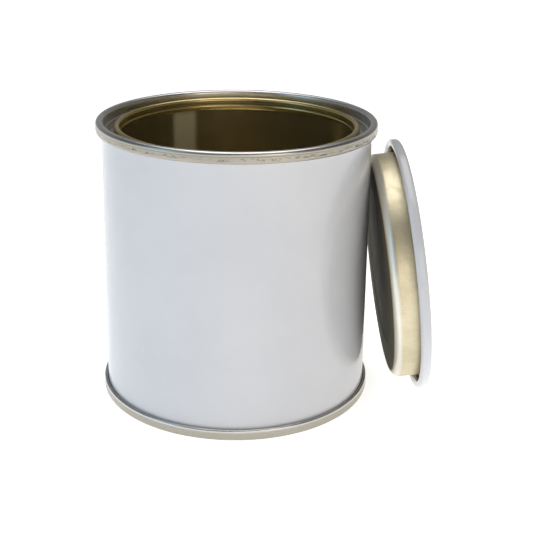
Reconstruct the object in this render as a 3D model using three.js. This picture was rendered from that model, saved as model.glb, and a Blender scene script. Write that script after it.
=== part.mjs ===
// A small lever-lid tin for paint, open, with its lid standing on edge and leaning on the can.
// Every piece is tinplate bent along a centre line in the (radius, height) plane and turned
// about the can's axis. Millimetres, +Z up, z = 0 on the table.
import * as THREE from 'three';

// --- driving dimensions -------------------------------------------------------------------
const SEGMENTS = 40;            // facets round every turned piece
const PLATE = 0.25;             // tinplate thickness
const HEIGHT = 77;              // table to the crest of the top seam
const BODY_R = 36.6;            // outside radius of the body wall
const SEAM_H = 3;               // height of both double seams
const TOP_GAP = 0.25;           // gap between the folded layers of the top seam
const BOTTOM_GAP = 0.1;         // and of the tighter bottom seam
const CHUCK_GAP = 0.15;         // gap between the body wall and the end's chuck wall
const SEAM_FLAT = 0.4;          // flat land on the crest of each seam
const COMPOUND_SPACE = 0.5;     // room for sealing compound above the body hook
const COMPOUND_CLEAR = 0.1;     // gap above and below the compound
const HOOK_CLEAR = 0.1;         // cover hook's tip below the centre of the body hook's bend
const BEND_STEPS = 2;           // facets in a quarter bend

const MOUTH_R = 31.7;           // inside radius of the mouth
const CURL_R = 0.65;            // centre-line radius of the mouth's inner curl
const CURL_Z = HEIGHT - 1.4;    // crest of the inner curl
const NECK_Z = HEIGHT - 3.9;    // where the neck turns out into its hem
const HEM_R = 0.4;              // centre-line radius of the hem
const LIP = 0.25;               // the neck draws in by this much just above its hem
const LIP_H = 0.7;              // over this height
const GROOVE_Z = HEIGHT - 5.4;  // underside of the groove round the mouth
const GROOVE_R = 35.55;         // chuck wall's centre line beside the groove
const GROOVE_BEND = 0.7;        // bends at the groove's two corners
const SHOULDER_Z = HEIGHT - 3;  // small step part-way down the chuck wall
const SHOULDER_H = 0.4;         // and its height

const FOOT_DEPTH = 4.1;         // bottom panel above the table
const FOOT_BEND = 0.8;          // bend between the bottom's chuck wall and its panel
const BEAD_H = 0.6;             // height of the bottom's expansion bead
const BEAD_OUTER_R = 31;        // and its two radii
const BEAD_INNER_R = 24;
const BEAD_SLOPE = 1;           // width of each of its flanks

const LID_R = 35.2;             // outside radius of the lid's rolled edge
const LID_EDGE_H = 2.8;         // height of the rolled edge
const LID_EDGE_R = 0.875;       // centre-line radius of its two bends
const LID_TIP = 0.3;            // straight run at the tip of the roll
const LID_FLANGE_BEND = 0.6;    // bend between the flange and the plug wall
const LID_PANEL_R = 22;         // raised centre of the lid's end panel
const LID_PANEL_STEP = 0.5;     // and its height
const PLUG_R = 31.5;            // outside radius of the lid's plug
const PLUG_DEPTH = 9.1;         // lid's outer face to its end panel
const PLUG_BEND = 2.2;          // bend between the plug wall and the end panel
const LID_LEAN = THREE.MathUtils.degToRad(6.5);  // lid leans on the can by this much
const LID_CLEAR = 0.35;         // gap between the leaning lid and the body wall
const LID_Y = 0.6;              // lid's centre is this far behind the can's

const half = PLATE / 2;

// --- materials ----------------------------------------------------------------------------
const finish = (color, roughness, metalness) =>
  new THREE.MeshStandardMaterial({ color, roughness, metalness });
const WHITE = finish(0xdcdee0, 0.3, 0.1);
const TINPLATE = finish(0xbdb9b0, 0.35, 0.9);
const GOLD = finish(0xc2b48a, 0.35, 0.8);
const COMPOUND = finish(0x8a8578, 0.8, 0);

// --- centre lines -------------------------------------------------------------------------
const point = (r, z) => new THREE.Vector2(r, z);

/** Points on a bend round (r, z), from one angle to another in degrees (0 points outward). */
function bend(r, z, radius, from, to) {
  const steps = Math.max(1, Math.round(Math.abs(to - from) / 90 * BEND_STEPS));
  return Array.from({ length: steps + 1 }, (_, i) => {
    const angle = THREE.MathUtils.degToRad(from + (to - from) * i / steps);
    return point(r + radius * Math.cos(angle), z + radius * Math.sin(angle));
  });
}

/** Both sides of a centre line, half a plate away, as one closed outline. */
function sheetOutline(line) {
  const side = (sign) => line.map((p, i) => {
    const before = i > 0 ? p.clone().sub(line[i - 1]).normalize() : null;
    const after = i < line.length - 1 ? line[i + 1].clone().sub(p).normalize() : null;
    const a = before ?? after;
    const b = after ?? before;
    const mitre = point(-(a.y + b.y), a.x + b.x);
    const scale = sign * half * 2 / mitre.lengthSq();
    return point(Math.max(0, p.x + mitre.x * scale), p.y + mitre.y * scale);
  });
  return [...side(1), ...side(-1).reverse()];
}

/** Radii of a double seam's layers, as centre lines, for a gap between the layers. */
function seamRadii(gap) {
  const step = PLATE + gap;
  return {
    chuck: BODY_R - PLATE - CHUCK_GAP - half,
    body: BODY_R - half,
    coverHook: BODY_R - half + step,
    bodyHook: BODY_R - half + 2 * step,
    cover: BODY_R - half + 3 * step,
  };
}

/** The end's half of a double seam: hook, outer wall and crest, ending on the chuck wall.
    Heights are depths below the crest. */
function coverSeam(gap) {
  const r = seamRadii(gap);
  const fold = (r.cover - r.coverHook) / 2;
  const crest = (r.cover - r.chuck - SEAM_FLAT) / 2;
  return [
    point(r.coverHook, bodyBendDepth(gap) + HOOK_CLEAR),
    ...bend(r.coverHook + fold, SEAM_H - half - fold, fold, 180, 0),
    ...bend(r.cover - crest, half + crest, crest, 0, -90),
    ...bend(r.chuck + crest, half + crest, crest, -90, -180),
  ];
}

/** Depth of the centre of the body hook's bend below the seam's crest. */
function bodyBendDepth(gap) {
  const r = seamRadii(gap);
  return PLATE + COMPOUND_SPACE + half + (r.bodyHook - r.body) / 2;
}

/** The body's half of a double seam, from the hook's tip over the bend to the wall. */
function bodySeam(gap) {
  const r = seamRadii(gap);
  const fold = (r.bodyHook - r.body) / 2;
  const tip = SEAM_H - half - (r.cover - r.coverHook) / 2;
  return [point(r.bodyHook, tip), ...bend(r.body + fold, bodyBendDepth(gap), fold, 0, -180)];
}

/** Turns depths below a seam's crest into heights above the table. */
const fromTop = (line) => line.map((p) => point(p.x, HEIGHT - p.y));

// --- pieces -------------------------------------------------------------------------------
/** Revolves a closed (radius, height) outline about Z. */
function turned(name, outline, material) {
  const closed = [...outline];
  if (outline[0].x > 0) closed.push(outline[0].clone());
  if (THREE.ShapeUtils.area(outline) < 0) closed.reverse();
  const geometry = new THREE.LatheGeometry(closed, SEGMENTS);
  geometry.rotateX(Math.PI / 2);
  const mesh = new THREE.Mesh(geometry, material);
  mesh.name = name;
  return mesh;
}

const sheet = (name, line, material) => turned(name, sheetOutline(line), material);

/** Rolled cylinder with a hook at each end, held in the two double seams. */
function bodyShell() {
  const line = [...fromTop(bodySeam(TOP_GAP)), ...bodySeam(BOTTOM_GAP).reverse()];
  return sheet('body_shell', line, WHITE);
}

/** Ring with the seam, the groove round the mouth, the inner curl and the neck. */
function topRing() {
  const curl = MOUTH_R + half + CURL_R;
  const riser = curl + CURL_R;
  const corner = GROOVE_Z + half + GROOVE_BEND;
  const line = [
    ...fromTop(coverSeam(TOP_GAP)),
    point(seamRadii(TOP_GAP).chuck, SHOULDER_Z + SHOULDER_H / 2),
    point(GROOVE_R, SHOULDER_Z - SHOULDER_H / 2),
    ...bend(GROOVE_R - GROOVE_BEND, corner, GROOVE_BEND, 0, -90),
    ...bend(riser + GROOVE_BEND, corner, GROOVE_BEND, -90, -180),
    ...bend(curl, CURL_Z - half - CURL_R, CURL_R, 0, 180),
    point(MOUTH_R + half, NECK_Z + LIP_H),
    ...bend(MOUTH_R + half + HEM_R - LIP, NECK_Z, HEM_R, 180, 270),
  ];
  return sheet('top_ring', line, TINPLATE);
}

/** Bottom end: its seam's crest is the foot ring, and the panel is countersunk above it. */
function bottomEnd() {
  const chuck = seamRadii(BOTTOM_GAP).chuck;
  const line = [
    ...coverSeam(BOTTOM_GAP),
    ...bend(chuck - FOOT_BEND, FOOT_DEPTH - FOOT_BEND, FOOT_BEND, 0, 90),
    point(BEAD_OUTER_R, FOOT_DEPTH),
    point(BEAD_OUTER_R - BEAD_SLOPE, FOOT_DEPTH - BEAD_H),
    point(BEAD_INNER_R + BEAD_SLOPE, FOOT_DEPTH - BEAD_H),
    point(BEAD_INNER_R, FOOT_DEPTH),
    point(0, FOOT_DEPTH),
  ];
  return sheet('bottom_end', line, TINPLATE);
}

/** Ring of sealing compound between the body hook and the end's crest, narrow at the top. */
function seamCompound(name, gap, toHeight) {
  const r = seamRadii(gap);
  const inset = (r.bodyHook - r.body) / 4;
  const top = PLATE + COMPOUND_CLEAR;
  const bottom = PLATE + COMPOUND_SPACE - COMPOUND_CLEAR;
  const outline = [
    point(r.body + inset, top),
    point(r.bodyHook - inset, top),
    point(r.bodyHook, bottom),
    point(r.body, bottom),
  ];
  return turned(name, toHeight(outline), COMPOUND);
}

/** Lid: rolled edge, flange and a plug that closes the mouth. Its outer face is at z = 0 and
    the plug points along +Z. */
function lid() {
  const edge = LID_R - half - LID_EDGE_R;
  const low = LID_EDGE_H - half - LID_EDGE_R;
  const wall = PLUG_R - half;
  const line = [
    point(edge - LID_EDGE_R, low - LID_TIP),
    ...bend(edge, low, LID_EDGE_R, 180, 0),
    ...bend(edge, half + LID_EDGE_R, LID_EDGE_R, 0, -90),
    ...bend(wall + LID_FLANGE_BEND, half + LID_FLANGE_BEND, LID_FLANGE_BEND, -90, -180),
    ...bend(wall - PLUG_BEND, PLUG_DEPTH - half - PLUG_BEND, PLUG_BEND, 0, 90),
    point(LID_PANEL_R, PLUG_DEPTH - half),
    point(LID_PANEL_R - LID_PANEL_STEP, PLUG_DEPTH - half - LID_PANEL_STEP),
    point(0, PLUG_DEPTH - half - LID_PANEL_STEP),
  ];
  return sheet('lid', line, GOLD);
}

// --- assembly -----------------------------------------------------------------------------
/** Distance from the can's axis to the lid's outer face, measured at the lid's centre, that
    leaves LID_CLEAR between the plug's end edge and the body wall. */
function lidStandOff() {
  const bendR = PLUG_R - half - PLUG_BEND;
  const bendDepth = PLUG_DEPTH - half - PLUG_BEND;
  const reach = bendDepth * Math.cos(LID_LEAN) + bendR * Math.sin(LID_LEAN) + PLUG_BEND + half;
  return BODY_R + LID_CLEAR + reach;
}

/** Height of the lid's centre when the deeper bend of its rolled edge is on the table. */
function lidHeight() {
  const bendR = LID_R - half - LID_EDGE_R;
  const bendDepth = LID_EDGE_H - half - LID_EDGE_R;
  return bendR * Math.cos(LID_LEAN) + bendDepth * Math.sin(LID_LEAN) + LID_EDGE_R + half;
}

/** Lid standing on its rolled edge, plug towards the can. */
function leaningLid() {
  const stand = new THREE.Group();
  stand.position.set(lidStandOff(), LID_Y, lidHeight());
  stand.rotation.y = -Math.PI / 2 - LID_LEAN;
  stand.add(lid());
  return stand;
}

const can = new THREE.Group();
can.add(
  bodyShell(),
  topRing(),
  bottomEnd(),
  seamCompound('top_seam_compound', TOP_GAP, fromTop),
  seamCompound('bottom_seam_compound', BOTTOM_GAP, (line) => line),
);

const assembly = new THREE.Group();
assembly.add(can, leaningLid());

// The frame's origin is on the table, at the centre of the can and lid together.
assembly.updateMatrixWorld(true);
const box = new THREE.Box3().setFromObject(assembly, true);
assembly.position.set(-(box.min.x + box.max.x) / 2, -(box.min.y + box.max.y) / 2, 0);

export default assembly;
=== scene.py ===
"""A small lever-lid paint tin, open, with its loose lid leaning on its side.

Every piece is tinplate bent along a centre line in the (radius, height) plane and turned
about its own axis. Sections are worked out in millimetres, and meshes are made in metres,
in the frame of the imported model: +Z up, z = 0 on the table.
"""
import logging
import math
from dataclasses import dataclass, field
from enum import Enum
from typing import Callable, Optional, Sequence, Union

import bpy
import numpy as np
from mathutils import Matrix, Vector


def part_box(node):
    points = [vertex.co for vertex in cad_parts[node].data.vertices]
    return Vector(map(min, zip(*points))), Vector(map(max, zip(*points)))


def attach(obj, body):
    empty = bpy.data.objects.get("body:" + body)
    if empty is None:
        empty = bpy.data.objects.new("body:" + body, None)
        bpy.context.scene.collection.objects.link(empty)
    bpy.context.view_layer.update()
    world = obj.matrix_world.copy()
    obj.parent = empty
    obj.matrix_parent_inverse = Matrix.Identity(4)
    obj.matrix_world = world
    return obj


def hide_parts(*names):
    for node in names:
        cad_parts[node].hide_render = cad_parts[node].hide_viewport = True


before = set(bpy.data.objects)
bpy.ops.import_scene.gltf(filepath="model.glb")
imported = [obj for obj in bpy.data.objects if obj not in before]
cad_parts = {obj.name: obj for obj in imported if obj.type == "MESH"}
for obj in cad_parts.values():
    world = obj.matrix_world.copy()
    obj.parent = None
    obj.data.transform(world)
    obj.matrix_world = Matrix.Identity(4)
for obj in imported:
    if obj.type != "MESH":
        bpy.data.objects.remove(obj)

LOG = logging.getLogger("paint_tin")
MM = 0.001                      # one millimetre in the scene's metres

Array = np.ndarray
Socket = bpy.types.NodeSocket
Number = Union[float, Socket]
Colour = tuple[float, float, float]
Stop = tuple[float, Colour]
Shaper = Callable[[Array, Array, Array], Array]

# Colours, linear. Pairs are (light, dark).
GOLD: tuple[Colour, Colour] = ((0.73, 0.645, 0.41), (0.64, 0.555, 0.32))
CHAMPAGNE: tuple[Colour, Colour] = ((0.74, 0.665, 0.48), (0.64, 0.57, 0.39))
NECK_GOLD: Colour = (0.60, 0.48, 0.22)
# The inside side-seam band: lighter lacquer, painted brighter as a lamp's reflection.
SEAM_STRIPE_AND_GLINT: Colour = (0.86, 0.80, 0.56)
# Painted shade: the lid's plug end panel, darkened as if it lay in the can's shadow.
PANEL_SHADE: Colour = (0.095, 0.086, 0.056)
# Painted highlight for the bend at the lid plug's end.
BEND_GLINT: Colour = (0.95, 0.95, 0.94)
ROLLED_TIN: Colour = (0.37, 0.34, 0.275)
# Painted shade for the fine hollow below the top seam's crest.
GROOVE_SHADE: Colour = (0.15, 0.135, 0.11)
# Painted shade for the folds of the seam's wrinkles.
FOLD_SHADE: Colour = (0.12, 0.10, 0.08)
SCUFF: Colour = (0.56, 0.56, 0.56)
SEAM_STEEL: tuple[Colour, Colour] = ((0.66, 0.65, 0.62), (0.50, 0.49, 0.47))
HEAT_TINT: Colour = (0.38, 0.31, 0.22)
WELD_LINE: Colour = (0.22, 0.21, 0.20)

TURNED = "turned"               # point attribute: (x, y, length along the section), metres
AROUND = "around"               # UV map: (turns round the axis, length along the section)


# --- shader nodes ------------------------------------------------------------------------

class Shader:
    """Writes one material's nodes, ending on a Principled shader."""

    def __init__(self, name: str) -> None:
        """Starts a material.

        Args:
            name: the material's name.
        """
        self.material = bpy.data.materials.new(name)
        self.material.use_nodes = True
        self.tree = self.material.node_tree
        self.principled = self.tree.nodes["Principled BSDF"]

    def node(self, kind: str, **settings: object) -> bpy.types.Node:
        """Adds a node.

        Args:
            kind: the node's type name, without ShaderNode.
            **settings: the node's own properties.

        Returns:
            The new node.
        """
        made = self.tree.nodes.new("ShaderNode" + kind)
        for key, value in settings.items():
            setattr(made, key, value)
        return made

    def feed(self, socket: Socket, value: object) -> None:
        """Links a socket to another one's output, or sets its own value."""
        if isinstance(value, bpy.types.NodeSocket):
            self.tree.links.new(value, socket)
        else:
            socket.default_value = value

    def place(self, scale: Sequence[float] = (1, 1, 1)) -> Socket:
        """Object coordinates, stretched.

        Args:
            scale: the stretch along each axis.

        Returns:
            The stretched vector.
        """
        source = self.node("TexCoord").outputs["Object"]
        return self.stretch(source, scale)

    def stretch(self, vector: Socket, scale: Sequence[float]) -> Socket:
        """A vector times a scale, each axis on its own."""
        mapping = self.node("Mapping")
        self.feed(mapping.inputs["Vector"], vector)
        mapping.inputs["Scale"].default_value = scale
        return mapping.outputs["Vector"]

    def turned(self, scale: Sequence[float] = (1, 1, 1)) -> Socket:
        """The (x, y, length along the section) attribute of a turned piece, stretched."""
        source = self.node("Attribute", attribute_name=TURNED).outputs["Vector"]
        return self.stretch(source, scale)

    def around(self) -> tuple[Socket, Socket]:
        """Turns round the axis, and metres along the section."""
        uv = self.node("UVMap", uv_map=AROUND).outputs["UV"]
        split = self.node("SeparateXYZ")
        self.feed(split.inputs[0], uv)
        return split.outputs["X"], split.outputs["Y"]

    def noise(self, vector: Socket, scale: float, detail: float = 3.0,
              roughness: float = 0.55, distortion: float = 0.0) -> Socket:
        """Fractal noise.

        Args:
            vector: where to read it.
            scale: cells per metre.
            detail: octaves added.
            roughness: how much of each finer octave.
            distortion: how far the noise bends itself.

        Returns:
            The noise, from about 0.3 to 0.7.
        """
        made = self.node("TexNoise")
        self.feed(made.inputs["Vector"], vector)
        for key, value in (("Scale", scale), ("Detail", detail),
                           ("Roughness", roughness), ("Distortion", distortion)):
            made.inputs[key].default_value = value
        return made.outputs["Fac"]

    def span(self, value: Socket, low: float, high: float,
             to_low: float = 0.0, to_high: float = 1.0) -> Socket:
        """A value taken smoothly from one range to another, held at both ends."""
        made = self.node("MapRange", interpolation_type="SMOOTHSTEP")
        self.feed(made.inputs["Value"], value)
        for key, number in (("From Min", low), ("From Max", high),
                            ("To Min", to_low), ("To Max", to_high)):
            made.inputs[key].default_value = number
        return made.outputs["Result"]

    def maths(self, operation: str, first: Number, second: Number = 0.0) -> Socket:
        """A Math node on two values."""
        made = self.node("Math", operation=operation)
        self.feed(made.inputs[0], first)
        self.feed(made.inputs[1], second)
        return made.outputs[0]

    def times(self, first: Number, second: Number) -> Socket:
        """One value times another."""
        return self.maths("MULTIPLY", first, second)

    def plus(self, first: Number, second: Number) -> Socket:
        """One value plus another."""
        return self.maths("ADD", first, second)

    def blend(self, share: Socket, first: object, second: object) -> Socket:
        """A colour between two colours.

        Args:
            share: 0 for the first colour, 1 for the second.
            first: a colour or a colour socket.
            second: a colour or a colour socket.

        Returns:
            The mixed colour.
        """
        made = self.node("Mix", data_type="RGBA")
        self.feed(made.inputs["Factor"], share)
        for socket, value in ((made.inputs[6], first), (made.inputs[7], second)):
            self.feed(socket, value if isinstance(value, bpy.types.NodeSocket) else (*value, 1.0))
        return made.outputs[2]

    def near(self, value: Socket, centre: float, reach: float, fade: float) -> Socket:
        """1 within reach of a centre, fading to 0 over fade."""
        away = self.maths("ABSOLUTE", self.maths("SUBTRACT", value, centre))
        return self.span(away, reach, reach + fade, 1.0, 0.0)

    def within(self, along: Socket, band: "Band") -> Socket:
        """1 within a band of the section, fading to 0 at both of its ends."""
        up = self.span(along, band.start - band.fade, band.start + band.fade)
        down = self.span(along, band.stop - band.fade, band.stop + band.fade, 1.0, 0.0)
        return self.times(up, down)

    def bump(self, height: Socket, depth: float, under: Optional[Socket] = None) -> Socket:
        """A bump.

        Args:
            height: the relief, from 0 to 1.
            depth: the relief's depth in metres.
            under: a normal to build on.

        Returns:
            The new normal.
        """
        made = self.node("Bump")
        made.inputs["Distance"].default_value = depth
        self.feed(made.inputs["Height"], height)
        if under is not None:
            self.feed(made.inputs["Normal"], under)
        return made.outputs["Normal"]

    def done(self, colour: object, roughness: Number, normal: Optional[Socket] = None,
             metallic: Number = 0.0, **constants: float) -> bpy.types.Material:
        """Feeds the Principled shader.

        Args:
            colour: base colour socket.
            roughness: roughness socket or number.
            normal: the bumped normal.
            metallic: metallic socket or number.
            **constants: other inputs, set on the shader, with _ for a space.

        Returns:
            The finished material.
        """
        inputs = self.principled.inputs
        self.feed(inputs["Base Color"], colour)
        self.feed(inputs["Roughness"], roughness)
        self.feed(inputs["Metallic"], metallic)
        if normal is not None:
            self.feed(inputs["Normal"], normal)
        for key, value in constants.items():
            inputs[key.replace("_", " ")].default_value = value
        return self.material


# --- finishes ----------------------------------------------------------------------------

@dataclass(frozen=True)
class Band:
    """A stretch of a section, by length along it in metres.

    Attributes:
        start: where it starts.
        stop: where it ends.
        fade: how soft its ends are.
    """

    start: float
    stop: float
    fade: float = 0.0003


@dataclass(frozen=True)
class SideSeam:
    """The welded side seam: an uncoated strip with the weld's dark line in its middle.

    Attributes:
        turns: where it is, in turns round the axis from +X.
        strip: half the uncoated strip's width, in turns.
        weld: half the weld's width, in turns.
    """

    turns: float = 0.322
    strip: float = 0.0125
    weld: float = 0.0019


@dataclass(frozen=True)
class WhiteCoating:
    """Gloss white stoving enamel on tinplate.

    Attributes:
        name: the material's name.
        light: its lighter shade.
        dark: its slightly greyer shade, where the coat is thin.
        seam: the side seam's bare strip, if the piece has one.
    """

    name: str = "white_coating"
    light: Colour = (0.675, 0.688, 0.72)
    dark: Colour = (0.64, 0.653, 0.687)
    seam: Optional[SideSeam] = None

    def material(self) -> bpy.types.Material:
        """Clouded white with a faint orange peel, fine scuffs, and the side seam's strip."""
        s = Shader(self.name)
        place = s.place()
        cloud = s.span(s.noise(place, 38, 4), 0.35, 0.68)
        scuff = s.span(s.noise(s.place((1, 1, 0.12)), 900, 5, 0.7, 0.6), 0.66, 0.78)
        colour = s.blend(cloud, self.light, self.dark)
        colour = s.blend(s.times(scuff, 0.22), colour, SCUFF)
        roughness = s.plus(s.span(s.noise(place, 240, 3), 0.3, 0.7, 0.17, 0.27),
                           s.times(scuff, 0.18))
        peel = s.bump(s.noise(place, 620, 2, 0.4), 0.000018)
        normal = s.bump(s.noise(place, 70, 2, 0.4), 0.00009, peel)
        metallic: Number = 0.0
        if self.seam is not None:
            turns, _ = s.around()
            bare_and_glint = s.near(turns, self.seam.turns, self.seam.strip, 0.0012)
            weld = s.near(turns, self.seam.turns, self.seam.weld, 0.0006)
            grain = s.span(s.noise(s.turned((40, 40, 700)), 1.0, 4), 0.35, 0.65)
            steel = s.blend(grain, SEAM_STEEL[1], SEAM_STEEL[0])
            tint = s.near(turns, self.seam.turns, self.seam.weld * 2.2, 0.002)
            steel = s.blend(s.times(tint, 0.5), steel, HEAT_TINT)
            steel = s.blend(weld, steel, WELD_LINE)
            colour = s.blend(bare_and_glint, colour, steel)
            metallic = s.times(bare_and_glint, 0.95)
            roughness = s.plus(roughness, s.times(bare_and_glint, 0.16))
        return s.done(colour, roughness, normal, metallic, Coat_Weight=0.35, Coat_Roughness=0.06)


@dataclass(frozen=True)
class GoldLacquer:
    """Gold stoving lacquer on tinplate, clouded where the film's thickness changes.

    Attributes:
        name: the material's name.
        light: where the film is thin.
        dark: where it is thick.
        roughness: the surface's mean roughness.
        mottle: how strongly the film is clouded, from 0 to 1.
        seam: the side seam, if the piece has one; a lighter lacquer band runs over it, painted
            brighter as a lamp's reflection on the inside wall.
        painted_highlight: a painted highlight on the plug's end bend, lightened towards white, if
            anywhere.
        dim: painted shade on the plug's end panel, darkened and made dull, if anywhere.
    """

    name: str
    light: Colour
    dark: Colour
    roughness: float = 0.3
    mottle: float = 1.0
    seam: Optional[SideSeam] = None
    painted_highlight: Optional[Band] = None
    dim: Optional[Band] = None

    def material(self) -> bpy.types.Material:
        """Two sizes of cloud in the film, fine rolling lines, and a soft relief."""
        s = Shader(self.name)
        place = s.place()
        cloud = s.span(s.noise(place, 210, 5, 0.6, 0.8), 0.36, 0.66)
        fleck = s.span(s.noise(place, 1500, 3, 0.6), 0.35, 0.68)
        lines = s.span(s.noise(s.turned((60, 60, 2600)), 1.0, 3), 0.35, 0.65)
        share = s.times(s.plus(s.times(cloud, 0.6), s.times(fleck, 0.4)), self.mottle)
        colour = s.blend(share, self.light, self.dark)
        colour = s.blend(s.times(lines, 0.12), colour, self.dark)
        roughness = s.span(share, 0.0, 1.0, self.roughness - 0.06, self.roughness + 0.08)
        metallic: Number = 0.96
        turns, along = s.around()
        if self.seam is not None:
            # A lighter lacquer band over the side seam, partly real and partly a painted
            # reflection of a lamp.
            stripe_and_glint = s.near(turns, self.seam.turns, self.seam.strip * 0.8, 0.012)
            colour = s.blend(stripe_and_glint, colour, SEAM_STRIPE_AND_GLINT)
            metallic = s.span(stripe_and_glint, 0.0, 1.0, 0.96, 0.55)
        if self.painted_highlight is not None:
            # Painted highlight: the plug's end bend is lightened towards white and made glossier,
            # as if it caught a lamp.
            bare_and_glint = s.times(s.within(along, self.painted_highlight), 0.6)
            colour = s.blend(bare_and_glint, colour, BEND_GLINT)
            roughness = s.plus(roughness, s.times(bare_and_glint, -0.12))
        if self.dim is not None:
            # Painted shade: thick masks the plug's end panel, which is darkened, made dull and
            # non-metallic to stand in for the can's shadow.
            thick = s.within(along, self.dim)
            colour = s.blend(thick, colour, PANEL_SHADE)
            metallic = s.span(thick, 0.0, 1.0, 0.96, 0.0)
            roughness = s.plus(roughness, s.times(thick, 0.3))
        relief = s.bump(s.noise(place, 420, 3, 0.5), 0.00003 * self.mottle)
        normal = s.bump(lines, 0.000004, relief)
        return s.done(colour, roughness, normal, metallic, Specular_IOR_Level=0.12)


@dataclass(frozen=True)
class Tinplate:
    """Bright tinplate with the marks of the seaming rolls.

    Attributes:
        name: the material's name.
        light: the polished tin.
        dark: the duller tin in scratches and pits.
        lacquer: gold lacquer on part of the piece, if there is some.
        lacquered: where the lacquer is.
        rolled: where the seaming rolls have rubbed the plate dull.
        wrinkled: where they have wrinkled it, with painted shade in the folds.
        groove_shade: painted shade along the fine hollow below the crest.
        roughness: the surface's mean roughness.
    """

    name: str
    light: Colour = (0.68, 0.672, 0.655)
    dark: Colour = (0.40, 0.385, 0.35)
    lacquer: Optional[Colour] = None
    lacquered: Optional[Band] = None
    rolled: Optional[Band] = None
    wrinkled: Optional[Band] = None
    groove_shade: Optional[Band] = None
    roughness: float = 0.3

    def material(self) -> bpy.types.Material:
        """Fine lines round the piece, sparse pits, the rolls' wrinkles, and the lacquer."""
        s = Shader(self.name)
        place = s.place()
        _, along = s.around()
        lines = s.span(s.noise(s.turned((70, 70, 2600)), 1.0, 4, 0.6), 0.32, 0.68)
        cloud = s.span(s.noise(place, 90, 4, 0.55), 0.35, 0.68)
        pits = s.span(s.noise(place, 1700, 4, 0.6), 0.66, 0.74)
        dull = s.maths("MAXIMUM", s.times(lines, 0.12), s.times(pits, 0.4))
        colour = s.blend(s.times(cloud, 0.18), self.light, self.dark)
        colour = s.blend(dull, colour, self.dark)
        if self.rolled is not None:
            colour = s.blend(s.times(s.within(along, self.rolled), 0.85), colour, ROLLED_TIN)
        if self.groove_shade is not None:
            # Painted shade: a thin dark line along the hollow below the crest.
            colour = s.blend(s.times(s.within(along, self.groove_shade), 0.7), colour, GROOVE_SHADE)
        roughness = s.plus(s.span(lines, 0.0, 1.0, -0.03, 0.04), self.roughness)
        normal = s.bump(lines, 0.0000015)
        if self.wrinkled is not None:
            within = s.within(along, self.wrinkled)
            fold = s.noise(s.turned((520, 520, 1700)), 1.0, 5, 0.62, 1.1)
            # Painted shade: the wrinkles' folds, where the relief is lowest, are darkened.
            fold_shade = s.times(s.span(fold, 0.54, 0.61), within)
            colour = s.blend(s.times(fold_shade, 0.8), colour, FOLD_SHADE)
            roughness = s.plus(roughness, s.times(fold_shade, 0.2))
            relief = s.times(s.span(fold, 0.4, 0.66, 1.0, 0.0), within)
            normal = s.bump(relief, 0.00005, normal)
        if self.lacquer is not None and self.lacquered is not None:
            gold = s.within(along, self.lacquered)
            colour = s.blend(gold, colour, self.lacquer)
        return s.done(colour, roughness, normal, 0.98)


@dataclass(frozen=True)
class Compound:
    """Grey-brown sealing compound, matt, with small bubbles."""

    def material(self) -> bpy.types.Material:
        """A clouded matt rubber."""
        s = Shader("seam_compound")
        cloud = s.span(s.noise(s.place(), 500, 4), 0.35, 0.65)
        bubbles = s.bump(s.noise(s.place(), 2400, 2), 0.00003)
        colour = s.blend(cloud, (0.30, 0.28, 0.24), (0.24, 0.22, 0.19))
        return s.done(colour, s.span(cloud, 0.0, 1.0, 0.7, 0.85), bubbles)


@dataclass(frozen=True)
class TablePaint:
    """The pale table top."""

    def material(self) -> bpy.types.Material:
        """Off-white with the faintest cloud."""
        s = Shader("pale_table")
        cloud = s.span(s.noise(s.place(), 3, 3), 0.3, 0.7)
        colour = s.blend(cloud, (0.93, 0.93, 0.93), (0.91, 0.91, 0.91))
        return s.done(colour, 0.6, Emission_Color=(1.0, 1.0, 1.0, 1.0), Emission_Strength=0.74)


# --- sections and turned meshes ----------------------------------------------------------

def bend(radius: float, height: float, round_by: float, start: float, stop: float,
         steps: int = 9) -> Array:
    """Points on a bend: centre + round_by * (cos a, sin a), with a from start to stop.

    Args:
        radius: the bend centre's distance from the axis, in mm.
        height: the bend centre's height, in mm.
        round_by: the bend's own radius, in mm.
        start: first angle in degrees, 0 pointing away from the axis.
        stop: last angle in degrees.
        steps: facets in a quarter turn.

    Returns:
        An array of (radius, height) points.
    """
    count = max(2, round(abs(stop - start) / 90 * steps) + 1)
    angle = np.radians(np.linspace(start, stop, count))
    return np.stack([radius + round_by * np.cos(angle), height + round_by * np.sin(angle)], 1)


def joined(*parts: Union[Array, tuple[float, float]]) -> Array:
    """One line from bends and single points, without points that coincide."""
    line = np.concatenate([np.atleast_2d(np.asarray(part, float)) for part in parts])
    step = np.hypot(*np.diff(line, axis=0).T)
    return line[np.concatenate([[True], step > 1e-4])]


def supported(line: Array, reach: float = 0.12, step: float = 2.0) -> Array:
    """Adds points to the straight runs of a line, so that they shade flat beside a bend.

    A point goes in at reach from both ends of each long run, and every step along the line.

    Args:
        line: (radius, height) points in mm.
        reach: how close to a run's end the extra points go, in mm.
        step: the longest gap left, in mm.

    Returns:
        The line with the extra points.
    """
    run = np.hypot(*np.diff(line, axis=0).T)
    length = np.concatenate([[0.0], np.cumsum(run)])
    long_run = run > 3 * reach
    near_start = length[:-1][long_run] + reach
    near_end = length[1:][long_run] - reach
    between = np.arange(step, length[-1], step)
    gap = np.abs(between[:, None] - length[None, :]).min(1)
    between = between[gap > 2 * reach]
    at = np.unique(np.concatenate([length, near_start, near_end, between]))
    return np.stack([np.interp(at, length, line[:, 0]), np.interp(at, length, line[:, 1])], 1)


class Face(Enum):
    """The faces of a bent sheet, by the material slot that each takes."""

    LEFT = 0        # to the left of the centre line, going along it
    RIGHT = 1       # to the right of it
    CUT = 2         # the cut edges


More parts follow.
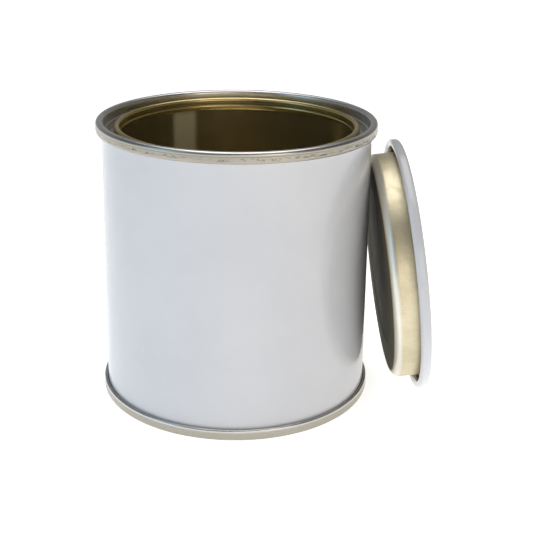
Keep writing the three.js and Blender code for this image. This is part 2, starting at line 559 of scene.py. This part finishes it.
@dataclass
class Section:
    """A closed outline in the (radius, height) plane.

    Attributes:
        points: the outline's points in mm, anticlockwise.
        along: length along the sheet at each point, in mm.
        face: the Face of the stretch that starts at each point.
        open_ended: whether the outline starts and ends on the axis.
    """

    points: Array
    along: Array
    face: Array
    open_ended: bool


def sheet_section(line: Array, thick: float) -> Section:
    """The outline of a sheet bent along a centre line.

    Each side is the line moved half the thickness along its mitred normal, and each free end
    is a half circle. A line that ends on the axis has no cut edge there.

    Args:
        line: the centre line in mm.
        thick: the sheet's thickness in mm.

    Returns:
        The closed section.
    """
    line = supported(line)
    run = np.diff(line, axis=0)
    run /= np.hypot(*run.T)[:, None]
    before = np.concatenate([run[:1], run])
    after = np.concatenate([run, run[-1:]])
    mitre = np.stack([-(before + after)[:, 1], (before + after)[:, 0]], 1)
    offset = mitre * (thick / (mitre ** 2).sum(1))[:, None]
    along = np.concatenate([[0.0], np.cumsum(np.hypot(*np.diff(line, axis=0).T))])
    on_axis = line[-1, 0] < 1e-6
    left, right = line + offset, (line - offset)[::-1]

    def cut(end: Array, heading: Array) -> Array:
        """Half a circle round a free end, from the left side to the right."""
        turn = np.radians(np.linspace(90, -90, 7))[1:-1]
        side = np.array([-heading[1], heading[0]])
        return end + thick / 2 * (np.cos(turn)[:, None] * heading + np.sin(turn)[:, None] * side)

    tail = np.empty((0, 2)) if on_axis else cut(line[-1], run[-1])
    nose = cut(line[0], -run[0])
    points = np.concatenate([left, tail, right, nose])
    length = np.concatenate([along, np.full(len(tail), along[-1]), along[::-1],
                             np.zeros(len(nose))])
    face = np.concatenate([np.full(len(left), Face.LEFT.value),
                           np.full(len(tail), Face.CUT.value),
                           np.full(len(right), Face.RIGHT.value),
                           np.full(len(nose), Face.CUT.value)])
    face[len(left) - 1] = Face.CUT.value if len(tail) else Face.LEFT.value
    face[len(left) + len(tail) + len(right) - 1] = Face.CUT.value
    if on_axis:
        # Start on the axis, so that the open outline runs pole to pole.
        start = len(left)
        points, length = np.roll(points, -start, 0), np.roll(length, -start)
        face = np.roll(face, -start)
    following = np.roll(points, -1, 0)
    area = float((points[:, 0] * following[:, 1] - following[:, 0] * points[:, 1]).sum())
    if area < 0:
        points, length = points[::-1], length[::-1]
        face = np.roll(face[::-1], -1)
    points = np.maximum(points, [0.0, -1e9])
    return Section(points, length, face, bool(on_axis))


def placed(name: str, data: bpy.types.ID) -> bpy.types.Object:
    """A new object in the scene, at the origin."""
    made = bpy.data.objects.new(name, data)
    bpy.context.scene.collection.objects.link(made)
    return made


def turned_piece(name: str, section: Section, materials: Sequence[bpy.types.Material],
                 to_frame: Matrix, segments: int = 224,
                 shaper: Optional[Shaper] = None) -> bpy.types.Object:
    """Revolves a section about its axis.

    A vertex is (r cos a, r sin a, h), for each of the outline's points (r, h) and each angle
    a. A point on the axis makes one vertex, and its faces are triangles.

    Args:
        name: the piece's name.
        section: the outline.
        materials: one for each Face.
        to_frame: takes the piece's own metres to the frame.
        segments: facets round the axis.
        shaper: moves the radius, given angles, radii and heights in mm.

    Returns:
        The new object.
    """
    points = section.points
    rows = len(points)
    angle = 2 * np.pi * np.arange(segments) / segments
    radius = np.repeat(points[:, :1], segments, 1)
    height = np.repeat(points[:, 1:], segments, 1)
    if shaper is not None:
        radius = shaper(np.repeat(angle[None], rows, 0), radius, height)
    grid = np.stack([radius * np.cos(angle), radius * np.sin(angle), height], -1) * MM
    length = np.repeat(section.along[:, None], segments, 1) * MM

    pole = points[:, 0] < 1e-6
    kept = ~(pole[:, None] & (np.arange(segments) > 0)[None])
    index = np.cumsum(kept).reshape(rows, segments) - 1
    index[pole] = index[pole][:, :1]

    row = np.arange(rows - 1 if section.open_ended else rows)
    next_row = (row + 1) % rows
    column = np.arange(segments)
    next_column = (column + 1) % segments
    corners = np.stack([
        index[row][:, column], index[row][:, next_column],
        index[next_row][:, next_column], index[next_row][:, column]], -1)
    turn = np.stack([column, column + 1, column + 1, column], -1) / segments
    turn = np.repeat(turn[None], len(row), 0)
    run = np.stack([section.along[row], section.along[row],
                    section.along[next_row], section.along[next_row]], -1) * MM
    run = np.repeat(run[:, None], segments, 1)
    slot = np.repeat(section.face[row][:, None], segments, 1)

    first_pole, second_pole = pole[row], pole[next_row]
    whole = ~(first_pole | second_pole)
    faces: list[list[int]] = []
    uvs: list[Array] = []
    slots: list[Array] = []
    for chosen, order in ((whole, [0, 1, 2, 3]), (first_pole, [0, 2, 3]),
                          (second_pole & ~first_pole, [0, 1, 2])):
        faces += corners[chosen][..., order].reshape(-1, len(order)).tolist()
        uvs.append(np.stack([turn[chosen][..., order], run[chosen][..., order]], -1)
                   .reshape(-1, 2))
        slots.append(slot[chosen].reshape(-1))

    mesh = bpy.data.meshes.new(name)
    mesh.from_pydata(grid[kept], [], faces)
    for material in materials:
        mesh.materials.append(material)
    mesh.polygons.foreach_set("material_index", np.concatenate(slots).astype(np.int32))
    mesh.polygons.foreach_set("use_smooth", np.ones(len(faces), bool))
    uv_map = mesh.uv_layers.new(name=AROUND)
    uv_map.data.foreach_set("uv", np.concatenate(uvs).astype(np.float32).ravel())
    turned = mesh.attributes.new(TURNED, "FLOAT_VECTOR", "POINT")
    local = np.stack([grid[..., 0], grid[..., 1], length], -1)[kept]
    turned.data.foreach_set("vector", local.astype(np.float32).ravel())
    mesh.transform(to_frame)
    mesh.validate()
    mesh.update()
    return placed(name, mesh)


# --- the double seams --------------------------------------------------------------------

@dataclass
class DoubleSeam:
    """The folded layers that hold an end on the body. Depths are below the seam's crest.

    Attributes:
        gap: gap between the layers, in mm.
        body_radius: outside radius of the body wall, in mm.
        plate: the sheet's thickness, in mm.
        tall: height of the seam, in mm.
        flat: flat land on the crest, in mm.
        chuck_gap: gap between the body wall and the chuck wall, in mm.
        compound: room for the sealing compound, in mm.
    """

    gap: float
    body_radius: float = 36.6
    plate: float = 0.25
    tall: float = 3.0
    flat: float = 0.4
    chuck_gap: float = 0.15
    compound: float = 0.5

    def layer(self, number: int) -> float:
        """Radius of a layer's centre line: 0 is the body wall, 3 is the outer wall."""
        return self.body_radius - self.plate / 2 + number * (self.plate + self.gap)

    @property
    def chuck(self) -> float:
        """Radius of the chuck wall's centre line."""
        return self.body_radius - 1.5 * self.plate - self.chuck_gap

    @property
    def hook_depth(self) -> float:
        """Depth of the centre of the body hook's bend."""
        return 1.5 * self.plate + self.compound + (self.layer(2) - self.layer(0)) / 2

    @property
    def fold(self) -> float:
        """Radius of the fold at the seam's foot."""
        return (self.layer(3) - self.layer(1)) / 2

    def cover(self) -> Array:
        """The end's half: hook, outer wall and crest, ending on the chuck wall."""
        crest = (self.layer(3) - self.chuck - self.flat) / 2
        top = self.plate / 2 + crest
        foot = self.tall - self.plate / 2 - self.fold
        return joined(
            (self.layer(1), self.hook_depth + 0.1),
            bend(self.layer(1) + self.fold, foot, self.fold, 180, 0),
            bend(self.layer(3) - crest, top, crest, 0, -90),
            bend(self.chuck + crest, top, crest, -90, -180))

    def body(self) -> Array:
        """The body's half: from the hook's tip over the bend to the wall."""
        round_by = (self.layer(2) - self.layer(0)) / 2
        tip = self.tall - self.plate / 2 - self.fold
        return joined((self.layer(2), tip),
                      bend(self.layer(0) + round_by, self.hook_depth, round_by, 0, -180))


# --- pieces ------------------------------------------------------------------------------

@dataclass
class Tin:
    """The can's own sizes, in mm, with its place in the frame.

    Attributes:
        height: table to the crest of the top seam.
        axis: the can's axis in the frame, in metres.
        top: the top double seam.
        bottom: the bottom double seam.
        side_seam: the welded side seam.
    """

    height: float
    axis: Vector
    top: DoubleSeam = field(default_factory=lambda: DoubleSeam(gap=0.25))
    bottom: DoubleSeam = field(default_factory=lambda: DoubleSeam(gap=0.1))
    side_seam: SideSeam = SideSeam()

    @property
    def to_frame(self) -> Matrix:
        """Takes the can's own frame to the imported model's."""
        return Matrix.Translation(self.axis)

    def from_top(self, line: Array) -> Array:
        """Turns depths below the top seam's crest into heights."""
        return np.stack([line[:, 0], self.height - line[:, 1]], 1)


@dataclass
class BodyShell:
    """The rolled and welded body: white outside, gold lacquer inside.

    Attributes:
        tin: the can's sizes.
        dent_depth: depth of the soft dent at the front right, in mm.
        dent_turns: where the dent is, in turns from +X.
        weld_ridge: how far the weld stands proud, in mm.
        seam_room: each end of the wall that stays round, in mm.
    """

    tin: Tin
    dent_depth: float = 0.14
    dent_turns: float = -0.105
    weld_ridge: float = 0.07
    seam_room: float = 4.5

    def shape(self, angle: Array, radius: Array, height: Array) -> Array:
        """The wall's small faults: radius - dent + weld + a slow waviness.

        The dent is depth * exp(-(turns from its line / width)^2) * sin(pi * share of height),
        and the weld's ridge is proud * exp(-(turns from the seam / width)^2).

        Args:
            angle: angles in radians.
            radius: radii in mm.
            height: heights in mm.

        Returns:
            The new radii in mm.
        """
        share = np.clip((height - self.seam_room) / (self.tin.height - 2 * self.seam_room), 0, 1)
        middle = np.sin(np.pi * share)
        turns = angle / (2 * np.pi)
        from_dent = (turns - self.dent_turns + 0.5) % 1 - 0.5
        bow = 0.012 * np.cos(np.pi * (share - 0.5))
        dent = self.dent_depth * np.exp(-((from_dent + bow) / 0.022) ** 2) * middle
        from_weld = (turns - self.tin.side_seam.turns + 0.5) % 1 - 0.5
        ridge = self.weld_ridge * np.exp(-(from_weld / 0.0022) ** 2) * np.minimum(1, 6 * middle)
        wave = 0.02 * middle * np.sin(3 * angle + 0.8) + 0.012 * middle * np.sin(7 * angle)
        return radius - dent + ridge + wave

    def build(self) -> bpy.types.Object:
        """The wall with a hook at each end."""
        lower = self.tin.bottom.body()[::-1]
        line = joined(self.tin.from_top(self.tin.top.body()), lower)
        # The side seam's lacquer band inside is painted brighter, as a lamp's reflection.
        gold = GoldLacquer("gold_inside", *GOLD, 0.24, 0.5, self.tin.side_seam)
        materials = [WhiteCoating("white_body", seam=self.tin.side_seam).material(),
                     gold.material(), Tinplate("body_cut").material()]
        # Closer rows than other pieces have, for the dent and the weld's ends.
        section = sheet_section(supported(line, step=1.5), self.tin.top.plate)
        piece = turned_piece("body", section, materials, self.tin.to_frame, shaper=self.shape)
        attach(piece, "can")
        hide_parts("body_shell")
        return piece


@dataclass
class TopRing:
    """The mouth ring: seam, chuck wall, groove, inner curl and neck.

    Attributes:
        tin: the can's sizes.
        mouth: inside radius of the mouth, in mm.
        curl: centre-line radius of the inner curl, in mm.
        curl_drop: crest of the inner curl below the seam's, in mm.
        neck_drop: where the neck turns out into its hem, below the crest, in mm.
        hem: centre-line radius of the hem, in mm.
        lip: how far the neck draws in just above its hem, in mm.
        lip_tall: height over which it draws in, in mm.
        groove_drop: underside of the groove below the crest, in mm.
        groove_radius: chuck wall's centre line beside the groove, in mm.
        corner: bends at the groove's two corners, in mm.
        shoulder_drop: the small step in the chuck wall, below the crest, in mm.
        shoulder_tall: the step's height, in mm.
        hollow: depth of the shallow hollow round the seam's wall, in mm.
        hollow_drop: the hollow's middle below the crest, in mm.
        hollow_wide: the hollow's half width, in mm.
        wrinkle: size of the wrinkles on the seam's lower face, in mm.
        wrinkle_drop: their middle below the crest, in mm.
        wrinkle_wide: half the width of their band, in mm.
    """

    tin: Tin
    mouth: float = 31.7
    curl: float = 0.65
    curl_drop: float = 1.4
    neck_drop: float = 3.9
    hem: float = 0.4
    lip: float = 0.15
    lip_tall: float = 0.3
    groove_drop: float = 5.4
    groove_radius: float = 35.55
    corner: float = 0.7
    shoulder_drop: float = 3.0
    shoulder_tall: float = 0.4
    hollow: float = 0.11
    hollow_drop: float = 1.15
    hollow_wide: float = 0.2
    wrinkle: float = 0.02
    wrinkle_drop: float = 2.0
    wrinkle_wide: float = 0.5

    def line(self) -> Array:
        """The ring's centre line, from the cover hook to the hem."""
        half = self.tin.top.plate / 2
        crest = self.tin.height
        centre = self.mouth + half + self.curl
        riser = centre + self.curl
        corner = crest - self.groove_drop + half + self.corner
        soft = 0.18
        step = crest - self.shoulder_drop
        rise = self.shoulder_tall / 2
        return joined(
            self.tin.from_top(self.tin.top.cover()),
            bend(self.tin.top.chuck - soft, step + rise, soft, 0, -50, 5),
            bend(self.groove_radius + soft, step - rise, soft, 130, 180, 5),
            bend(self.groove_radius - self.corner, corner, self.corner, 0, -90),
            bend(riser + self.corner, corner, self.corner, -90, -180),
            bend(centre, crest - self.curl_drop - half - self.curl, self.curl, 0, 180),
            (self.mouth + half, crest - self.neck_drop + self.lip_tall),
            bend(self.mouth + half + self.hem - self.lip, crest - self.neck_drop, self.hem,
                 155, 270))

    def shape(self, angle: Array, radius: Array, height: Array) -> Array:
        """The seam's outer wall as the rolls leave it.

        The radius loses hollow * exp(-(depth from it / width)^2) below the crest, and on the
        lower face a little more, which small wrinkles, a sum of products of sines, vary.

        Args:
            angle: angles in radians.
            radius: radii in mm.
            height: heights in mm.

        Returns:
            The new radii in mm.
        """
        depth = self.tin.height - height
        outer = np.clip((radius - self.tin.top.layer(2)) / 0.3, 0, 1)
        hollow = self.hollow * np.exp(-((depth - self.hollow_drop) / self.hollow_wide) ** 2)
        face = np.exp(-((depth - self.wrinkle_drop) / self.wrinkle_wide) ** 2)
        ripple = (np.sin(61 * angle + 0.5) * np.sin(17 * angle) * 0.6
                  + np.sin(97 * angle + 2.1) * np.sin(5 * angle + 1.0) * 0.4)
        return radius - outer * (hollow + self.wrinkle * face * (1.0 - ripple))

    def build(self) -> bpy.types.Object:
        """The ring, tinplate above and gold lacquer below."""
        line = self.line()
        section = sheet_section(line, self.tin.top.plate)
        total = float(section.along.max()) * MM
        tin = Tinplate("ring_top", lacquer=NECK_GOLD,
                       lacquered=Band(total * 0.66, total * 2.0, total * 0.06),
                       rolled=Band(0.0016, 0.0043, 0.0004),
                       wrinkled=Band(0.0026, 0.0034, 0.0003),
                       # Painted shade along the hollow below the crest.
                       groove_shade=Band(0.0036, 0.0038, 0.00012))
        materials = [GoldLacquer("ring_under", *GOLD, 0.24, 0.5).material(), tin.material(),
                     Tinplate("ring_cut").material()]
        piece = turned_piece("mouth_ring", section, materials, self.tin.to_frame, 288,
                             self.shape)
        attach(piece, "can")
        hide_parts("top_ring")
        return piece


@dataclass
class BottomEnd:
    """The countersunk bottom, with an expansion bead. Its seam's crest is the foot.

    Attributes:
        tin: the can's sizes.
        depth: bottom panel above the table, in mm.
        bead: height of the expansion bead, in mm.
        bead_outer: the bead's outer radius, in mm.
        bead_inner: the bead's inner radius, in mm.
        bead_run: the width of each of the bead's slopes, in mm.
    """

    tin: Tin
    depth: float = 4.1
    bead: float = 0.6
    bead_outer: float = 31.0
    bead_inner: float = 24.0
    bead_run: float = 1.0

    def line(self) -> Array:
        """The bottom's centre line, from the cover hook to the axis."""
        corner, soft = 0.8, 0.55
        slope = 60
        low = self.depth - self.bead
        return joined(
            self.tin.bottom.cover(),
            bend(self.tin.bottom.chuck - corner, self.depth - corner, corner, 0, 90),
            bend(self.bead_outer, self.depth - soft, soft, 90, 90 + slope, 6),
            bend(self.bead_outer - self.bead_run, low + soft, soft, slope - 90, -90, 6),
            bend(self.bead_inner + self.bead_run, low + soft, soft, -90, -90 - slope, 6),
            bend(self.bead_inner, self.depth - soft, soft, 90 - slope, 90, 6),
            (0.0, self.depth))

    def build(self) -> bpy.types.Object:
        """The bottom, tinplate below and gold lacquer above."""
        gold = GoldLacquer("gold_floor", *GOLD, 0.28, 0.6)
        tin = Tinplate("bottom_outside", rolled=Band(0.0025, 0.0047, 0.0003))
        materials = [tin.material(), gold.material(), Tinplate("bottom_cut").material()]
        piece = turned_piece("bottom", sheet_section(self.line(), self.tin.bottom.plate),
                             materials, self.tin.to_frame, 256)
        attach(piece, "can")
        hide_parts("bottom_end")
        return piece


@dataclass
class Lid:
    """The plug lid, standing on its rolled edge and leaning on the can.

    Attributes:
        tin: the can's sizes.
        radius: outside radius of the rolled edge, in mm.
        edge_tall: height of the rolled edge, in mm.
        edge_bend: centre-line radius of the rolled edge's bends, in mm.
        plug: outside radius of the plug, in mm.
        plug_deep: outer face to end panel, in mm.
        plug_bend: bend between plug wall and end panel, in mm.
        flange_bend: bend between flange and plug wall, in mm.
        panel: radius of the end panel's raised centre, in mm.
        panel_step: its height, in mm.
        panel_run: the width of its slope, in mm.
        lean: lean towards the can, in degrees.
        clear: gap between the lid and the body wall, in mm.
        behind: how far its centre is behind the can's, in mm.
    """

    tin: Tin
    radius: float = 35.2
    edge_tall: float = 2.8
    edge_bend: float = 0.875
    plug: float = 31.5
    plug_deep: float = 9.1
    plug_bend: float = 2.2
    flange_bend: float = 0.6
    panel: float = 22.0
    panel_step: float = 0.3
    panel_run: float = 1.4
    lean: float = 6.5
    clear: float = 0.35
    behind: float = 0.6

    @property
    def to_frame(self) -> Matrix:
        """Takes the lid's own frame (outer face at 0, plug along +Z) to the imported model's.

        The plug's end edge is clear of the body wall, and the rolled edge is on the table.
        """
        half = self.tin.top.plate / 2
        lean = math.radians(self.lean)
        deep = self.plug_deep - half - self.plug_bend
        wide = self.plug - half - self.plug_bend
        off = (self.tin.top.body_radius + self.clear + self.plug_bend + half
               + deep * math.cos(lean) + wide * math.sin(lean))
        edge = self.radius - half - self.edge_bend
        low = self.edge_tall - half - self.edge_bend
        up = edge * math.cos(lean) + low * math.sin(lean) + self.edge_bend + half
        place = self.tin.axis + Vector((off, self.behind, up)) * MM
        return Matrix.Translation(place) @ Matrix.Rotation(-math.pi / 2 - lean, 4, "Y")

    def line(self) -> Array:
        """The lid's centre line, from the rolled edge's tip to the axis."""
        half = self.tin.top.plate / 2
        edge = self.radius - half - self.edge_bend
        wall = self.plug - half
        low = self.edge_tall - half - self.edge_bend
        end = self.plug_deep - half
        soft = 1.5
        return joined(
            (edge - self.edge_bend, low - 0.3),
            bend(edge, low, self.edge_bend, 180, 0),
            bend(edge, half + self.edge_bend, self.edge_bend, 0, -90),
            bend(wall + self.flange_bend, half + self.flange_bend, self.flange_bend, -90, -180),
            bend(wall - self.plug_bend, end - self.plug_bend, self.plug_bend, 0, 90, 14),
            bend(self.panel, end - soft, soft, 90, 110, 6),
            bend(self.panel - self.panel_run, end - self.panel_step + soft, soft, -70, -90, 6),
            (0.0, end - self.panel_step))

    def build(self) -> bpy.types.Object:
        """The lid, white outside and over the roll, champagne lacquer on the plug."""
        section = sheet_section(self.line(), self.tin.top.plate)
        total = float(section.along.max())
        flat = (total - self.plug + self.plug_bend) * MM
        turn = self.plug_bend * math.pi / 2 * MM
        champagne = GoldLacquer("champagne_lacquer", *CHAMPAGNE, 0.48, 0.8,
                                # Painted highlight on the plug's end bend.
                                painted_highlight=Band(flat - turn * 0.8, flat - turn * 0.3, 0.0005),
                                # Painted shade on the plug's end panel.
                                dim=Band(flat - turn * 0.1, total * 2 * MM, 0.0004))
        materials = [WhiteCoating("white_lid").material(), champagne.material(),
                     Tinplate("lid_cut").material()]
        piece = turned_piece("lid_shell", section, materials, self.to_frame, 288)
        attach(piece, "lid")
        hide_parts("lid")
        return piece


@dataclass
class SeamLining:
    """The two rings of sealing compound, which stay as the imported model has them.

    Attributes:
        nodes: the rings' names.
    """

    nodes: tuple[str, ...] = ("top_seam_compound", "bottom_seam_compound")

    def build(self) -> list[bpy.types.Object]:
        """Dresses both rings."""
        rubber = Compound().material()
        rings = [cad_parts[name] for name in self.nodes]
        for ring in rings:
            ring.data.materials.clear()
            ring.data.materials.append(rubber)
        return rings


# --- studio ------------------------------------------------------------------------------

@dataclass
class Softbox:
    """One large soft light.

    Attributes:
        name: its name.
        place: where it is, in metres.
        size: width and height, in metres.
        power: watts.
        colour: its colour.
    """

    name: str
    place: tuple[float, float, float]
    size: tuple[float, float]
    power: float
    colour: Colour = (1.0, 1.0, 1.0)

    def build(self, aim: Vector) -> None:
        """Hangs the light and turns it to a point."""
        lamp = bpy.data.lights.new(self.name, "AREA")
        lamp.shape = "RECTANGLE"
        lamp.size, lamp.size_y = self.size
        lamp.energy = self.power
        lamp.color = self.colour
        made = placed(self.name, lamp)
        made.location = self.place
        made.rotation_euler = (aim - Vector(self.place)).to_track_quat("-Z", "Y").to_euler()


@dataclass
class Studio:
    """The pale table, the soft lights and the surrounding light.

    Attributes:
        sides: the surround's colour from left to right, as (direction's X, colour) pairs.
        heights: what it is multiplied by, as (direction's Z, colour) pairs.
        surround: the surround's strength.
        reach: the table's radius, in metres.
        rim_points: points round the table's edge.
        aim: where every light points, in metres.
        softboxes: the lights.
    """

    sides: tuple[Stop, ...] = ((-1.0, (0.82, 0.91, 1.0)), (0.1, (0.75, 0.75, 0.75)),
                               (0.8, (0.66, 0.62, 0.54)))
    heights: tuple[Stop, ...] = ((-0.1, (1.0, 1.0, 1.0)), (0.2, (0.70, 0.70, 0.70)),
                                 (0.5, (0.22, 0.22, 0.22)), (0.9, (0.12, 0.12, 0.12)))
    surround: float = 0.51
    reach: float = 4.0
    rim_points: int = 96
    aim: tuple[float, float, float] = (0.0, 0.0, 0.04)
    softboxes: tuple[Softbox, ...] = (
        Softbox("key_left", (-0.9, -0.45, 0.5), (0.5, 0.9), 1.5, (0.44, 0.74, 1.0)),
        Softbox("front", (0.12, -0.95, 0.34), (0.5, 0.4), 0.9, (1.0, 0.96, 0.90)),
        Softbox("fill_right", (0.5, -0.82, 0.3), (0.35, 0.6), 1.4, (1.0, 0.88, 0.74)),
        Softbox("overhead", (0.0, 0.25, 1.1), (0.9, 1.1), 7.0),
    )

    def build(self) -> None:
        """Makes the table, the lights and the surrounding light."""
        self.table()
        for box in self.softboxes:
            box.build(Vector(self.aim))
        self.surroundings()

    def table(self) -> None:
        """A wide flat disc under the tin."""
        count = self.rim_points
        angle = np.linspace(0, 2 * np.pi, count + 1)[:-1]
        rim = np.stack([np.cos(angle), np.sin(angle), np.zeros(count)], 1) * self.reach
        mesh = bpy.data.meshes.new("table")
        mesh.from_pydata(rim, [], [list(range(count))])
        mesh.materials.append(TablePaint().material())
        placed("table", mesh)

    def surroundings(self) -> None:
        """A pale surround: cool on the left, warmer on the right, dim overhead."""
        world = bpy.data.worlds.new("surround")
        world.use_nodes = True
        tree = world.node_tree
        place = tree.nodes.new("ShaderNodeTexCoord")
        split = tree.nodes.new("ShaderNodeSeparateXYZ")
        tree.links.new(place.outputs["Generated"], split.inputs[0])
        side = self.fade(tree, split.outputs["X"], self.sides)
        rise = self.fade(tree, split.outputs["Z"], self.heights)
        both = tree.nodes.new("ShaderNodeMix")
        both.data_type, both.blend_type = "RGBA", "MULTIPLY"
        both.inputs["Factor"].default_value = 1.0
        tree.links.new(side, both.inputs[6])
        tree.links.new(rise, both.inputs[7])
        tree.links.new(both.outputs[2], tree.nodes["Background"].inputs["Color"])
        tree.nodes["Background"].inputs["Strength"].default_value = self.surround
        bpy.context.scene.world = world
        bpy.context.scene.view_settings.view_transform = "Standard"

    @staticmethod
    def fade(tree: bpy.types.NodeTree, value: Socket, stops: Sequence[Stop]) -> Socket:
        """The colour at a value from -1 to 1, between (value, colour) stops, lowest first."""
        shift = tree.nodes.new("ShaderNodeMapRange")
        tree.links.new(value, shift.inputs["Value"])
        shift.inputs["From Min"].default_value = -1.0
        ramp = tree.nodes.new("ShaderNodeValToRGB")
        tree.links.new(shift.outputs["Result"], ramp.inputs["Fac"])
        elements = ramp.color_ramp.elements
        while len(elements) < len(stops):
            elements.new(0.5)
        for element, (at, colour) in zip(elements, stops):
            element.position = (at + 1) / 2
            element.color = (*colour, 1.0)
        return ramp.outputs["Color"]


@dataclass
class TableCamera:
    """The camera, in front of the can and looking down on it.

    Attributes:
        back: distance in front of the can's axis, in metres.
        up: height above the table, in metres.
        pitch: how far it looks down, in radians.
        roll: how far it is tipped, in radians.
        swing: how far it is turned to the right, in radians.
        lens: focal length in mm, on a 36 mm sensor.
        drop: how far the frame is shifted down, in frame widths.
    """

    back: float = 0.28447
    up: float = 0.14212
    pitch: float = 0.2896
    roll: float = 0.0053
    swing: float = 0.02767
    lens: float = 72.55
    drop: float = 0.15

    def build(self, axis: Vector) -> None:
        """Sets the scene's camera.

        Args:
            axis: the can's axis.
        """
        data = bpy.data.cameras.new("camera")
        data.sensor_width = 36.0
        data.lens = self.lens
        data.shift_y = -self.drop
        data.clip_start, data.clip_end = 0.01, 20.0
        made = placed("camera", data)
        turn = (Matrix.Rotation(math.pi / 2 - self.pitch, 4, "X")
                @ Matrix.Rotation(self.roll, 4, "Z")
                @ Matrix.Rotation(-self.swing, 4, "Y"))
        made.matrix_world = Matrix.Translation(axis + Vector((0, -self.back, self.up))) @ turn
        bpy.context.scene.camera = made


# --- the whole scene ---------------------------------------------------------------------

def corners(box: tuple[Vector, Vector]) -> list[list[float]]:
    """A box's two corners as plain lists."""
    return [list(corner) for corner in box]


def main() -> None:
    """Builds every piece in order."""
    logging.basicConfig(level=logging.INFO, format="%(name)s: %(message)s")
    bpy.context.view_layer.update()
    low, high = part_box("top_ring")
    axis = Vector(((low.x + high.x) / 2, (low.y + high.y) / 2, 0.0))
    tin = Tin(height=high.z / MM, axis=axis)
    TableCamera().build(axis)
    for part in (BodyShell(tin), TopRing(tin), BottomEnd(tin), Lid(tin)):
        piece = part.build()
        LOG.info("%s: %d faces", piece.name, len(piece.data.polygons))
    for ring in SeamLining().build():
        LOG.info("%s: dressed", ring.name)
    Studio().build()
    bpy.context.view_layer.update()


if __name__ == "__main__":
    main()
